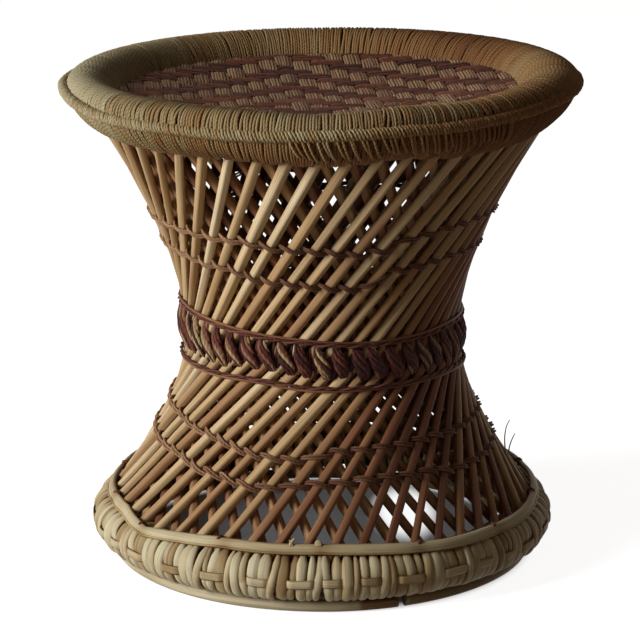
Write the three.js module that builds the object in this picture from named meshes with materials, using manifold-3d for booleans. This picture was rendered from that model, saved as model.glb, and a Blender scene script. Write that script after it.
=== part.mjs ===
// A mudda: a low hourglass stool of crossed canes, with a wound base ring, a corded rim and a woven seat.
// Millimetres, +Z up. The origin lies on the floor, on the stool's own axis, and the front faces -Y.
// Azimuths count from the front towards +X.
import * as THREE from "three";
import { mergeVertices } from "three/addons/utils/BufferGeometryUtils.js";
import Module from "manifold-3d";

const wasm = await Module();
wasm.setup();

// Fits
const clearance = 0.3; // between pieces that touch
const layerGap = 0.7; // between the outer and the inner canes, at the waist and at their ends
const overrun = 2; // how far a cutting ring runs past the roll that it cuts

// Foot hoop: a round cane bent into an open ring, with its ends butted near the front
const footHoopDiameter = 9;
const footHoopInsideBaseMiddle = 0.9;
const footHoopButtGap = 6;
const footHoopButtAzimuth = THREE.MathUtils.degToRad(21.5);

// Base ring: a roll of grass bound with split cane, which holds the feet of the canes
const baseRadius = 161.5;
const baseWidth = 38;
const baseDepth = 37.5;
const baseBinding = 3.5;
const baseHeight = footHoopDiameter + clearance + baseDepth / 2;
const footHoopRadius = baseRadius - footHoopInsideBaseMiddle;

// Rim: a roll of grass bound with cord, which holds the tops of the canes, with a plaited ridge outside
// The roll is oval, and its long way leans outwards as the canes do.
const rimRadius = 175.5;
const rimHeight = 361.3;
const rimLongWidth = 49;
const rimShortWidth = 37;
const rimTilt = THREE.MathUtils.degToRad(44);
const rimBinding = 3;
const ridgeDiameter = 9;
const ridgeOutsideRimMiddle = 20.5;
const ridgeAboveRimMiddle = 4.2;

// Canes: an outer layer that leans one way and an inner layer that leans the other way
const canesPerLayer = 48;
const caneDiameter = 6.2;
const waistRadius = 104;
const waistHeight = 176;
const caneTopBelowRimMiddle = 9.3;
const caneTopInsideRimMiddle = 3.2;
const caneFootAboveBaseMiddle = 6;
const caneFootOutsideBaseMiddle = 8.8;

// Hoop that ties the inner canes together inside the waist
const tieHoopDiameter = 4;

// Split-cane hoop round the canes on top of the base ring
const baseTopHoopWidth = 9;
const baseTopHoopThickness = 4.8;

// Twined cords: each goes twice round the outer canes, from one place at the back to the same place
const twineDiameter = 3.2;
const twineHeightsPerTurn = 8;
const upperTwineHeightShares = [
  0.568, 0.563, 0.551, 0.543, 0.497, 0.517, 0.5, 0.477, 0.46, 0.455, 0.443, 0.423, 0.355, 0.403, 0.398,
  0.369, 0.347,
];
const lowerTwineHeightShares = [
  0.338, 0.345, 0.366, 0.426, 0.458, 0.426, 0.437, 0.458, 0.486, 0.521, 0.549, 0.595, 0.609, 0.571, 0.571,
  0.592, 0.613,
];

// Waist: a plaited band of yarn between two hoops, which are one cord wound round and carried up behind
const braidHeight = 29;
const braidThickness = 6.2;
const braidRibDepth = 1.6;
const braidSlant = 9; // how far a rib leans sideways from the band's bottom to its top
const waistHoopDiameter = 5;
const waistHoopRiseAngle = THREE.MathUtils.degToRad(20);

// Seat: a woven mat, held in the rim, that hangs lower towards its middle
const seatAboveRimMiddle = 5.7;
const seatThickness = 7;
const seatEdgeRounding = 1.5;
const seatSag = 12;
const seatLevelMiddle = 50; // how wide the level part is where it hangs lowest

// Fineness of the round shapes
const ringSides = 48;
const hoopSides = 8;
const caneSides = 6;
const cordSides = 5;
const tieHoopSides = 24;
const tieCordSides = 4;
const rollSteps = 12;
const cavitySteps = 6;
const ridgeSteps = 6;
const topHoopSteps = 4;
const braidSteps = 4;
const sagSteps = 5;

// Values that follow
const mergeDistanceShare = 0.001;
const mergeDistance = mergeDistanceShare * clearance;
const caneRadius = caneDiameter / 2;
const caneSpacing = caneDiameter + layerGap;
const caneTopHeight = rimHeight - caneTopBelowRimMiddle;
const caneFootHeight = baseHeight + caneFootAboveBaseMiddle;
const flatsToCorners = 1 / Math.cos(Math.PI / ringSides);
const quarterTurn = Math.PI / 2;
const fullTurn = Math.PI * 2;

// A layer of canes: straight below and above the waist, each half leaning along the layer's wall.
function caneLayer(radiusAtWaist, topRadius, footRadius, leanSign) {
  const topRun = Math.sqrt(topRadius ** 2 - radiusAtWaist ** 2);
  const footRun = Math.sqrt(footRadius ** 2 - radiusAtWaist ** 2);
  return {
    radiusAtWaist,
    leanSign,
    topLean: topRun / (caneTopHeight - waistHeight),
    footLean: footRun / (waistHeight - caneFootHeight),
  };
}

// Radius of the wall that a layer's centre lines form at a height, and how fast it widens upwards.
function wallAt(layer, height) {
  const rise = height - waistHeight;
  const lean = rise > 0 ? layer.topLean : layer.footLean;
  const radius = Math.hypot(layer.radiusAtWaist, lean * rise);
  return { radius, widening: (lean ** 2 * rise) / radius };
}

// Radius at a height of the surface that stands off a layer's wall by a distance square to it.
function offsetRadius(layer, height, standOff) {
  const wall = wallAt(layer, height);
  return wall.radius + standOff * Math.hypot(1, wall.widening);
}

const outerLayer = caneLayer(
  waistRadius,
  rimRadius - caneTopInsideRimMiddle,
  baseRadius + caneFootOutsideBaseMiddle,
  1,
);
const innerLayer = caneLayer(
  waistRadius - caneSpacing,
  offsetRadius(outerLayer, caneTopHeight, -caneSpacing),
  offsetRadius(outerLayer, caneFootHeight, -caneSpacing),
  -1,
);

function outwardAt(azimuth) {
  return new THREE.Vector3(Math.sin(azimuth), -Math.cos(azimuth), 0);
}

function placeAt(azimuth, radius, height) {
  return outwardAt(azimuth).multiplyScalar(radius).setZ(height);
}

// Closed skin through rings of points, either round a loop or from one capped end to the other.
function loft(rings, isLoop) {
  const sides = rings[0].length;
  const index = [];
  const spans = isLoop ? rings.length : rings.length - 1;
  for (let ring = 0; ring < spans; ring++) {
    const here = ring * sides;
    const there = ((ring + 1) % rings.length) * sides;
    for (let side = 0; side < sides; side++) {
      const next = (side + 1) % sides;
      index.push(here + side, there + side, there + next);
      index.push(here + side, there + next, here + next);
    }
  }
  if (!isLoop) {
    const last = (rings.length - 1) * sides;
    for (let side = 1; side < sides - 1; side++) {
      index.push(0, side, side + 1);
      index.push(last, last + side + 1, last + side);
    }
  }
  const geometry = new THREE.BufferGeometry().setFromPoints(rings.flat());
  geometry.setIndex(index);
  return geometry;
}

// Round section of a tube as [outwards, upwards] pairs, with its first corner pointing inwards.
function roundSection(diameter, sides) {
  return Array.from({ length: sides }, (_, side) => {
    const angle = Math.PI + (side * fullTurn) / sides;
    return [(diameter / 2) * Math.cos(angle), (diameter / 2) * Math.sin(angle)];
  });
}

// Round section that stands on a flat: its flats, not its corners, touch the given diameter.
function standingSection(diameter, sides) {
  const halfSide = Math.PI / sides;
  const cornerRadius = diameter / 2 / Math.cos(halfSide);
  return Array.from({ length: sides }, (_, side) => {
    const angle = (2 * side + 1) * halfSide;
    return [cornerRadius * Math.cos(angle), cornerRadius * Math.sin(angle)];
  });
}

// Tube with a section along a route of stations, each with a centre and a direction away from the axis.
function tube(stations, section, isLoop) {
  const count = stations.length;
  const rings = stations.map((station, place) => {
    const before = isLoop ? (place + count - 1) % count : Math.max(place - 1, 0);
    const after = isLoop ? (place + 1) % count : Math.min(place + 1, count - 1);
    const along = stations[after].centre.clone().sub(stations[before].centre).normalize();
    const upwards = station.outward.clone().cross(along).normalize();
    const outwards = along.clone().cross(upwards);
    return section.map(([out, up]) =>
      station.centre.clone().addScaledVector(outwards, out).addScaledVector(upwards, up),
    );
  });
  return loft(rings, isLoop);
}

// Prints the least gap between the turns of a winding, measured between the points of its route.
function printLeastGap(name, stations, diameter) {
  const gaps = stations.flatMap((station, place) =>
    stations.slice(place + ringSides / 2).map((other) => station.centre.distanceTo(other.centre) - diameter),
  );
  console.log(name + ": least gap between its turns is " + Math.min(...gaps).toFixed(1) + " mm");
}

// A station on the outside of the outer canes, with its centre a distance off their centre lines.
function stationOnCanes(azimuth, height, standOff) {
  const wall = wallAt(outerLayer, height);
  const across = outwardAt(azimuth);
  across.z = -wall.widening;
  across.normalize();
  const centre = placeAt(azimuth, wall.radius, height).addScaledVector(across, standOff);
  return { centre, outward: across };
}

// Ring turned from a closed outline of [radius, height] pairs that runs up its outer side.
function turnedRing(outline) {
  const points = [...outline, outline[0]].map(([radius, height]) => new THREE.Vector2(radius, height));
  return new THREE.LatheGeometry(points, ringSides).rotateX(quarterTurn);
}

// Points of an arc of an oval round a middle, as [radius, height] pairs. A tilt leans its top outwards.
function ovalArc(radius, height, width, depth, tilt, from, to, steps) {
  return Array.from({ length: steps + 1 }, (_, step) => {
    const angle = from + ((to - from) * step) / steps;
    const across = (width / 2) * Math.cos(angle);
    const up = (depth / 2) * Math.sin(angle);
    const outwards = across * Math.cos(tilt) + up * Math.sin(tilt);
    const upwards = up * Math.cos(tilt) - across * Math.sin(tilt);
    return [radius + outwards, height + upwards];
  });
}

function ovalOutline(radius, height, width, depth, tilt, steps) {
  return ovalArc(radius, height, width, depth, tilt, 0, fullTurn, steps).slice(1);
}

// The rim roll's outline, taken in by a depth all round.
function rimOutline(inset, steps) {
  const width = rimShortWidth - 2 * inset;
  const depth = rimLongWidth - 2 * inset;
  return ovalOutline(rimRadius, rimHeight, width, depth, rimTilt, steps);
}

// The base roll's outline, taken in by a depth all round.
function baseOutline(inset, steps) {
  return ovalOutline(baseRadius, baseHeight, baseWidth - 2 * inset, baseDepth - 2 * inset, 0, steps);
}

function solidOf(geometry) {
  const bare = geometry.clone();
  bare.deleteAttribute("normal");
  bare.deleteAttribute("uv");
  const merged = mergeVertices(bare, mergeDistance);
  const vertProperties = new Float32Array(merged.getAttribute("position").array);
  const triVerts = new Uint32Array(merged.index.array);
  return new wasm.Manifold(new wasm.Mesh({ numProp: 3, vertProperties, triVerts }));
}

function geometryOf(solid) {
  const mesh = solid.getMesh();
  const geometry = new THREE.BufferGeometry();
  geometry.setAttribute("position", new THREE.BufferAttribute(mesh.vertProperties, 3));
  geometry.setIndex(new THREE.BufferAttribute(mesh.triVerts, 1));
  return geometry;
}

// Turned ring between two surfaces, each given as a radius for a height.
function ringBetween(lowHeight, highHeight, insideRadius, outsideRadius) {
  const outline = [
    [outsideRadius(lowHeight), lowHeight],
    [outsideRadius(highHeight), highHeight],
    [insideRadius(highHeight), highHeight],
    [insideRadius(lowHeight), lowHeight],
  ];
  return solidOf(turnedRing(outline));
}

// Space that both layers of canes take between two heights, with the clearance round it.
function canePassage(lowHeight, highHeight) {
  const standOff = caneRadius + clearance;
  const inside = (height) => offsetRadius(innerLayer, height, -standOff);
  const outside = (height) => offsetRadius(outerLayer, height, standOff) * flatsToCorners;
  return ringBetween(lowHeight, highHeight, inside, outside);
}

// How far a cane's square end reaches past the height where its centre line ends.
function endReach(lean) {
  return (caneRadius * lean) / Math.hypot(1, lean) + clearance;
}

function caneStations(layer) {
  const footRun = layer.leanSign * layer.footLean * (waistHeight - caneFootHeight);
  const topRun = layer.leanSign * layer.topLean * (caneTopHeight - waistHeight);
  const outward = outwardAt(0);
  return [
    { centre: new THREE.Vector3(-footRun, -layer.radiusAtWaist, caneFootHeight), outward },
    { centre: new THREE.Vector3(0, -layer.radiusAtWaist, waistHeight), outward },
    { centre: new THREE.Vector3(topRun, -layer.radiusAtWaist, caneTopHeight), outward },
  ];
}

function caneGeometry(layer) {
  const section = roundSection(caneDiameter, caneSides);
  return tube(caneStations(layer), section, false);
}

function innerCanesGeometry() {
  const tieRadius = innerLayer.radiusAtWaist - caneRadius;
  const stations = Array.from({ length: tieHoopSides }, (_, step) => {
    const azimuth = (step * fullTurn) / tieHoopSides;
    return { centre: placeAt(azimuth, tieRadius, waistHeight), outward: outwardAt(azimuth) };
  });
  let joined = solidOf(tube(stations, roundSection(tieHoopDiameter, tieCordSides), true));
  const cane = caneGeometry(innerLayer);
  for (let count = 0; count < canesPerLayer; count++) {
    const turned = cane.clone().rotateZ((count * fullTurn) / canesPerLayer);
    joined = joined.add(solidOf(turned));
  }
  return geometryOf(joined);
}

function footHoopGeometry() {
  const buttAngle = footHoopButtGap / footHoopRadius;
  const sweep = fullTurn - buttAngle;
  const stations = Array.from({ length: ringSides + 1 }, (_, step) => {
    const azimuth = footHoopButtAzimuth + buttAngle / 2 + (sweep * step) / ringSides;
    const centre = placeAt(azimuth, footHoopRadius, footHoopDiameter / 2);
    return { centre, outward: outwardAt(azimuth) };
  });
  return tube(stations, standingSection(footHoopDiameter, hoopSides), false);
}

const feetFloorHeight = caneFootHeight - endReach(outerLayer.footLean);
const baseOpenHeight = baseHeight + baseDepth / 2 + overrun;

// Space outside the middle of the outer canes' feet, from a height upwards.
function outsideFeet(lowHeight) {
  const inside = (height) => wallAt(outerLayer, height).radius;
  const outside = () => baseRadius + baseWidth;
  return ringBetween(lowHeight, baseOpenHeight, inside, outside);
}

// The grass under and inside the feet of the canes: the binding lies on the feet from outside.
function baseCore() {
  const roll = solidOf(turnedRing(baseOutline(baseBinding, cavitySteps)));
  const inside = roll.subtract(outsideFeet(feetFloorHeight));
  return geometryOf(inside.subtract(canePassage(feetFloorHeight, baseOpenHeight)));
}

function baseWrap() {
  const cavity = solidOf(turnedRing(baseOutline(baseBinding - clearance, cavitySteps)));
  const coreSpace = cavity.subtract(outsideFeet(feetFloorHeight + clearance));
  const sleeve = solidOf(turnedRing(baseOutline(0, rollSteps))).subtract(coreSpace);
  return geometryOf(sleeve.subtract(canePassage(feetFloorHeight, baseOpenHeight)));
}

// Half-round outline that stands out by a thickness over a height.
function halfRound(thickness, height, steps) {
  return ovalArc(0, 0, 2 * thickness, height, 0, -quarterTurn, quarterTurn, steps);
}

// Half-round hoop whose flat side lies on the canes.
function baseTopHoop() {
  const section = halfRound(baseTopHoopThickness, baseTopHoopWidth, topHoopSteps);
  const standOff = caneRadius + clearance;
  const rollTop = baseHeight + baseDepth / 2;
  const widening = wallAt(outerLayer, rollTop).widening;
  const edgeDrop = (baseTopHoopWidth / 2 + standOff * widening) / Math.hypot(1, widening);
  const height = rollTop + clearance + edgeDrop;
  const stations = Array.from({ length: ringSides }, (_, step) => {
    const azimuth = (step * fullTurn) / ringSides;
    return stationOnCanes(azimuth, height, standOff * flatsToCorners);
  });
  return tube(stations, section, true);
}

function rimPassage() {
  const halfDepth = Math.hypot(rimLongWidth * Math.cos(rimTilt), rimShortWidth * Math.sin(rimTilt)) / 2;
  const openHeight = rimHeight - halfDepth - overrun;
  return canePassage(openHeight, caneTopHeight + endReach(outerLayer.topLean));
}

function rimCore() {
  const roll = solidOf(turnedRing(rimOutline(rimBinding, cavitySteps)));
  return geometryOf(roll.subtract(rimPassage()));
}

function rimCordWrap() {
  const ridgeRadius = rimRadius + ridgeOutsideRimMiddle;
  const ridgeHeight = rimHeight + ridgeAboveRimMiddle;
  const ridge = ovalOutline(ridgeRadius, ridgeHeight, ridgeDiameter, ridgeDiameter, 0, ridgeSteps);
  const roll = solidOf(turnedRing(rimOutline(0, rollSteps)));
  const ridgedRoll = roll.add(solidOf(turnedRing(ridge)));
  const cavity = solidOf(turnedRing(rimOutline(rimBinding - clearance, cavitySteps)));
  return geometryOf(ridgedRoll.subtract(cavity).subtract(rimPassage()));
}

// Smooth height between hand-chosen heights, given as shares of a stretch of wall.
function twineHeight(shares, turnShare, fromHeight, toHeight) {
  const place = turnShare * (shares.length - 1);
  const before = Math.min(Math.floor(place), shares.length - 2);
  const blend = (1 - Math.cos((place - before) * Math.PI)) / 2;
  const share = shares[before] + (shares[before + 1] - shares[before]) * blend;
  return fromHeight + (toHeight - fromHeight) * share;
}

function twining(name, shares, toHeight) {
  const turns = (shares.length - 1) / twineHeightsPerTurn;
  const steps = turns * ringSides;
  const standOff = caneRadius + clearance + twineDiameter / 2;
  const stations = Array.from({ length: steps + 1 }, (_, step) => {
    const azimuth = Math.PI + (step * fullTurn) / ringSides;
    const height = twineHeight(shares, step / steps, waistHeight, toHeight);
    return stationOnCanes(azimuth, height, standOff * flatsToCorners);
  });
  printLeastGap(name, stations, twineDiameter);
  return tube(stations, roundSection(twineDiameter, cordSides), false);
}

// Inner radius of the plaited band: the canes are widest at its lower or its upper edge.
function braidInnerRadius() {
  const standOff = caneRadius + clearance;
  const low = offsetRadius(outerLayer, waistHeight - braidHeight / 2, standOff);
  const high = offsetRadius(outerLayer, waistHeight + braidHeight / 2, standOff);
  return Math.max(low, high) * flatsToCorners;
}

// Plaited band with one slanting rib for each outer cane.
function waistBraid() {
  const inner = braidInnerRadius();
  const columns = 2 * canesPerLayer;
  const rings = Array.from({ length: columns }, (_, column) => {
    const thickness = braidThickness - (column % 2) * braidRibDepth;
    const outline = halfRound(thickness, braidHeight, braidSteps);
    return outline.map(([out, up]) => {
      const azimuth = (column * fullTurn) / columns - (up / braidHeight) * (braidSlant / inner);
      return placeAt(azimuth, inner + out, waistHeight + up);
    });
  });
  return loft(rings, true);
}

// One cord: once round below the band, over the band behind, and once round above it.
function waistHoops(name) {
  const hoopRadius = waistHoopDiameter / 2;
  const toHoop = braidHeight / 2 + clearance + hoopRadius;
  const standOff = (caneRadius + clearance + hoopRadius) * flatsToCorners;
  const overBand = braidInnerRadius() + braidThickness + clearance + hoopRadius;
  const sweep = fullTurn - waistHoopRiseAngle;
  const start = Math.PI + waistHoopRiseAngle / 2;
  const turn = (from, height) =>
    Array.from({ length: ringSides + 1 }, (_, step) =>
      stationOnCanes(from + (sweep * step) / ringSides, height, standOff),
    );
  const lower = turn(start, waistHeight - toHoop);
  const upper = turn(start + fullTurn, waistHeight + toHoop);
  const riseShares = [-0.75, 0, 0.75];
  const rise = riseShares.map((share) => {
    const azimuth = Math.PI + (share * waistHoopRiseAngle) / 2;
    const centre = placeAt(azimuth, overBand, waistHeight + share * toHoop);
    return { centre, outward: outwardAt(azimuth) };
  });
  const stations = [...lower, ...rise, ...upper];
  printLeastGap(name, stations, waistHoopDiameter);
  return tube(stations, roundSection(waistHoopDiameter, cordSides), false);
}

// Radius of an outline's inner face at a height.
function innerRadiusAt(outline, height) {
  const crossings = outline.flatMap(([radius, level], corner) => {
    const [nextRadius, nextLevel] = outline[(corner + 1) % outline.length];
    const share = (height - level) / (nextLevel - level);
    return share >= 0 && share <= 1 ? [radius + (nextRadius - radius) * share] : [];
  });
  return Math.min(...crossings);
}

// Least radius of the rim's inner face between two heights.
function rimInnerRadius(lowHeight, highHeight) {
  const outline = rimOutline(0, rollSteps);
  const corners = outline.map(([, level]) => level);
  const between = corners.filter((level) => level > lowHeight && level < highHeight);
  const radii = [lowHeight, highHeight, ...between].map((height) => innerRadiusAt(outline, height));
  return Math.min(...radii);
}

// Mat whose edge stands against the rim's inner face, and whose middle hangs lower by the sag.
function wovenSeat() {
  const top = rimHeight + seatAboveRimMiddle;
  const underside = top - seatThickness;
  const lowEdge = underside + seatEdgeRounding;
  const highEdge = top - seatEdgeRounding;
  const edgeRadius = rimInnerRadius(lowEdge, highEdge) - clearance;
  const levelRadius = seatLevelMiddle / 2;
  const sagWidth = edgeRadius - seatEdgeRounding - levelRadius;
  const hangingFrom = (height) =>
    Array.from({ length: sagSteps + 1 }, (_, step) => {
      const share = step / sagSteps;
      return [levelRadius + sagWidth * share, height - seatSag * (1 - share ** 2)];
    });
  const outline = [
    [0, underside - seatSag],
    ...hangingFrom(underside),
    [edgeRadius, lowEdge],
    [edgeRadius, highEdge],
    ...hangingFrom(top).reverse(),
    [0, top - seatSag],
  ].map(([radius, height]) => new THREE.Vector2(radius, height));
  return new THREE.LatheGeometry(outline, ringSides).rotateX(quarterTurn);
}

function matt(color, roughness) {
  return new THREE.MeshStandardMaterial({ color, roughness, metalness: 0 });
}

const canesMaterial = matt("#c9a26a", 0.55);
const stool = new THREE.Group();

function addPiece(name, geometry, material) {
  const mesh = new THREE.Mesh(geometry, material);
  mesh.name = name;
  stool.add(mesh);
  return mesh;
}

addPiece("foot_hoop", footHoopGeometry(), matt("#9c5a38", 0.6));
addPiece("base_core", baseCore(), matt("#8f7a4c", 0.9));
addPiece("base_wrap", baseWrap(), matt("#a8996b", 0.65));
addPiece("base_top_hoop", baseTopHoop(), matt("#c2a068", 0.55));

const outerCane = caneGeometry(outerLayer);
for (let count = 0; count < canesPerLayer; count++) {
  const number = String(count + 1).padStart(2, "0");
  const cane = addPiece("outer_cane_" + number, outerCane, canesMaterial.clone());
  cane.rotation.z = (count * fullTurn) / canesPerLayer;
}
addPiece("inner_canes", innerCanesGeometry(), matt("#b48d58", 0.6));

const lowerTwining = twining("lower_twining", lowerTwineHeightShares, caneFootHeight);
const upperTwining = twining("upper_twining", upperTwineHeightShares, caneTopHeight);
addPiece("lower_twining", lowerTwining, matt("#7a5636", 0.85));
addPiece("upper_twining", upperTwining, matt("#7a5636", 0.85));
addPiece("waist_hoops", waistHoops("waist_hoops"), matt("#a5714a", 0.7));
addPiece("waist_braid", waistBraid(), matt("#4a2a2a", 0.9));
addPiece("rim_core", rimCore(), matt("#8f7a4c", 0.9));
addPiece("rim_cord_wrap", rimCordWrap(), matt("#8a7045", 0.9));
addPiece("woven_seat", wovenSeat(), matt("#6e4a38", 0.9));

export default stool;
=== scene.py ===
"""The looks of a mudda: an hourglass stool of crossed canes with a wound base ring, a plaited waist band,
a corded rim and a woven seat. Metres and radians, but degrees in the tables by azimuth. +Z is up, the front
faces -Y, and azimuths count from the front towards +X. Every piece is made of strands, as the real one is."""

import math

import bpy
import numpy as np
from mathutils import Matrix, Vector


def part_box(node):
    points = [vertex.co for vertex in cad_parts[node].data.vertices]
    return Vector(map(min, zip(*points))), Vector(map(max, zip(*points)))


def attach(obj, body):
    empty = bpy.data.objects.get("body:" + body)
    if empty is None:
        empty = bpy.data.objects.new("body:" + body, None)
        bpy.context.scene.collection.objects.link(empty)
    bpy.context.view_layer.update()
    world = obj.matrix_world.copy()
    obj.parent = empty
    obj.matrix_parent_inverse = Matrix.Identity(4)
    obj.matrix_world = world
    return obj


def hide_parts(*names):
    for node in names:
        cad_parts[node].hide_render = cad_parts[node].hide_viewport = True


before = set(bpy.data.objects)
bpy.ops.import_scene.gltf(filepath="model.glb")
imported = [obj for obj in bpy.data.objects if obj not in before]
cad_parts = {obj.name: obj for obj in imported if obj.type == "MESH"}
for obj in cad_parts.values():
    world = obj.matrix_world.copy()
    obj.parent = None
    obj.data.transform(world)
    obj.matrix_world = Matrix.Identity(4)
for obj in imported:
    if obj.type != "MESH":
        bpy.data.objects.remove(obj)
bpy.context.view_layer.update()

MM = 0.001
FULL_TURN = 2 * math.pi

# Sizes of the frame
WAIST_HEIGHT = 176 * MM
CANE_COUNT = 48
CANE_STEP = FULL_TURN / CANE_COUNT
CANE_RADIUS = 3.1 * MM
CANE_FOOT_HEIGHT = 34.05 * MM
CANE_TOP_HEIGHT = 352 * MM
BASE_RADIUS = 161.5 * MM
BASE_HEIGHT = 28.05 * MM
BASE_HALF_WIDTH = 19 * MM
BASE_HALF_DEPTH = 18.75 * MM
RIM_RADIUS = 175.5 * MM
RIM_HEIGHT = 361.3 * MM
RIM_HALF_LONG = 24.5 * MM
RIM_HALF_SHORT = 18.5 * MM
RIM_TILT = math.radians(44)
RIDGE_HALF_WIDTH = 4.5 * MM
FOOT_HOOP_RADIUS = 160.6 * MM
FOOT_HOOP_HALF_WIDTH = 4.5 * MM
BUTT_AZIMUTH = math.radians(21.5)
BUTT_GAP = 6 * MM
SEAT_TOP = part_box("woven_seat")[1].z
SEAT_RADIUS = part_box("woven_seat")[1].x
BRAID_LOW, BRAID_HIGH = (corner.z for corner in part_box("waist_braid"))
BRAID_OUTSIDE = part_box("waist_braid")[1].x


# Places, directions and smooth values


class Layer:
    """A layer of straight canes: the radius of their middles at the waist, and how far they lean."""

    def __init__(self, waist_radius, top_lean, foot_lean, lean_sign):
        self.waist_radius = waist_radius
        self.top_lean = top_lean
        self.foot_lean = foot_lean
        self.lean_sign = lean_sign

    def lean(self, height):
        return np.where(np.asarray(height) > WAIST_HEIGHT, self.top_lean, self.foot_lean)

    def radius(self, height):
        return np.hypot(self.waist_radius, self.lean(height) * (np.asarray(height) - WAIST_HEIGHT))

    def widening(self, height):
        rise = np.asarray(height) - WAIST_HEIGHT
        return self.lean(height) ** 2 * rise / self.radius(height)

    def turn(self, height):
        """How far round a cane has gone at a height, from its place at the waist."""
        rise = np.asarray(height) - WAIST_HEIGHT
        return self.lean_sign * np.arctan(self.lean(height) * rise / self.waist_radius)


OUTER = Layer(104 * MM, 0.7805, 0.95, 1)
INNER = Layer(97.1 * MM, 0.752, 0.9105, -1)


def steps_round(count):
    """Angles at even steps once round."""
    return np.arange(count) * FULL_TURN / count


def outward_at(azimuth):
    azimuth = np.asarray(azimuth, float)
    return np.stack([np.sin(azimuth), -np.cos(azimuth), 0 * azimuth], -1)


def place_at(azimuth, radius, height):
    azimuth, radius, height = np.broadcast_arrays(azimuth, radius, height)
    return np.stack([radius * np.sin(azimuth), -radius * np.cos(azimuth), height], -1)


def unit(vectors):
    return vectors / np.maximum(np.linalg.norm(vectors, axis=-1, keepdims=True), 1e-12)


def on_wall(azimuth, height, stand_off):
    """Points off the outer canes' wall, and the directions square to it."""
    azimuth, height, stand_off = np.broadcast_arrays(azimuth, height, stand_off)
    across = outward_at(azimuth)
    across[..., 2] = -OUTER.widening(height)
    across = unit(across)
    return place_at(azimuth, OUTER.radius(height), height) + across * stand_off[..., None], across


def angle_from(angle, middle):
    """The signed angle from a middle one, within half a turn."""
    return np.remainder(np.asarray(angle) - middle + math.pi, FULL_TURN) - math.pi


def within(values):
    return np.clip(values, 0, 1)


def smooth_step(share):
    return share * share * (3 - 2 * share)


def smooth_curve(places, values, at):
    """Values between given ones, with a level run through each."""
    places, values, at = (np.asarray(x, float) for x in (places, values, at))
    before = np.clip(np.searchsorted(places, at, side="right") - 1, 0, len(places) - 2)
    share = within((at - places[before]) / (places[before + 1] - places[before]))
    return values[before] + (values[before + 1] - values[before]) * smooth_step(share)


def slow_noise(rng, count, knots, amount):
    """A smooth random line of count values made from a few random knots."""
    values = rng.uniform(-amount, amount, knots)
    return smooth_curve(np.arange(knots), values, np.linspace(0, knots - 1, count))


def past(azimuth, start, span):
    """Zero before a start and one after a span from it, by azimuth. A span below zero goes left."""
    return smooth_step(within((angle_from(azimuth, 0) - start) / span))


def near(angle, middle, spread):
    """One at a middle angle, and next to nothing more than two spreads away."""
    return np.exp(-((angle_from(angle, middle) / spread) ** 2))


def value_at(table, azimuth):
    """Straight runs between listed values by degrees, round the stool."""
    return np.interp(np.degrees(angle_from(azimuth, 0)), list(table), list(table.values()))


def length_at(table, azimuth):
    """The same for values in millimetres."""
    return value_at(table, azimuth) * MM


def curve_at(table, azimuth):
    """Smooth runs between listed values by degrees, round the stool."""
    return smooth_curve(list(table), list(table.values()), np.degrees(angle_from(azimuth, 0)))


def length_along(route):
    """How far along a route each of its points lies."""
    return np.concatenate([[0], np.cumsum(np.linalg.norm(np.diff(route, axis=0), axis=1))])


def points_at(at, places, points):
    """Points at some places on a line whose own points and places are given."""
    return np.stack([np.interp(at, places, column) for column in points.T], -1)


def eased(route):
    """The same points with the corners between them rounded."""
    kernel = np.array([1, 2, 3, 2, 1]) / 9
    padded = np.pad(route, ((2, 2), (0, 0)), mode="edge")
    return np.stack([np.convolve(column, kernel, "valid") for column in padded.T], -1)


# Strands

FIBRE_SHIFT = 1
SQUARE_TILT = (18, 48)


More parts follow.
